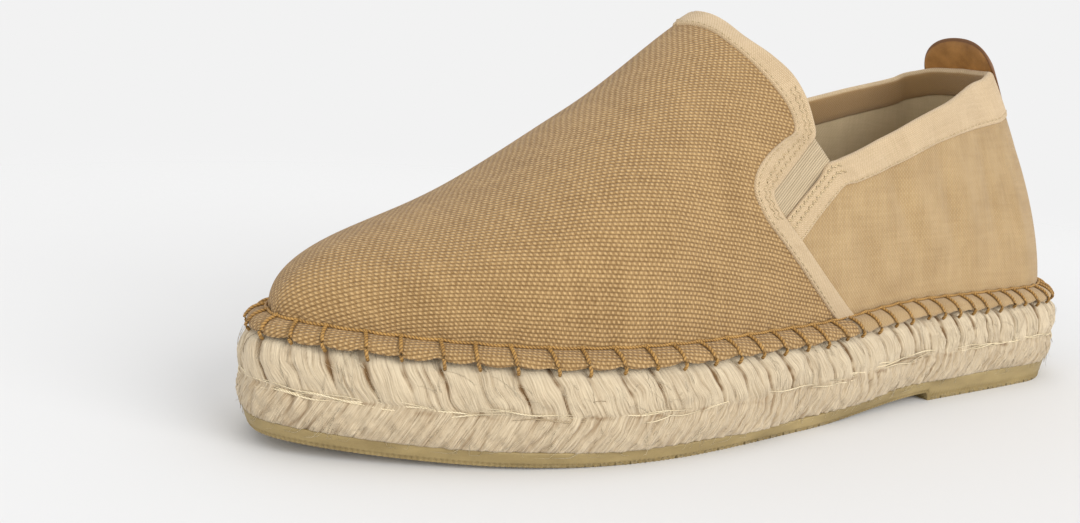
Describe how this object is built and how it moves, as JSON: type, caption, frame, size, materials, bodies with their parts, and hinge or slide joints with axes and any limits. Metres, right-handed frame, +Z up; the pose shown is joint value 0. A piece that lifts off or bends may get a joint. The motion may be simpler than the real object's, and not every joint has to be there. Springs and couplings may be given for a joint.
{
  "type": "espadrille",
  "caption": "Flat slip-on canvas shoe for the left foot, with an elastic gusset each side, a jute platform with a blanket-stitched rim, a rubber outsole and a leather heel tab.",
  "frame": {"origin": "middle of the whole shoe's plan outline, on the floor", "axes": "+Y towards the toe, +X towards the inner side of the foot, +Z up"},
  "size_m": [0.1002, 0.29, 0.1137],
  "materials": {
    "rubber": "matt khaki",
    "jute": "braided natural fibre",
    "footbed": "plain weave",
    "canvas": "coarse plain weave",
    "elastic": "fine ribs",
    "leather": "smooth, slightly waxed"
  },
  "bodies": {
    "root": {"outsole": "rubber", "midsole": "jute", "insole": "footbed", "upper": "canvas", "gusset_outer": "elastic", "gusset_inner": "elastic", "pull_tab": "leather"}
  },
  "joints": []
}
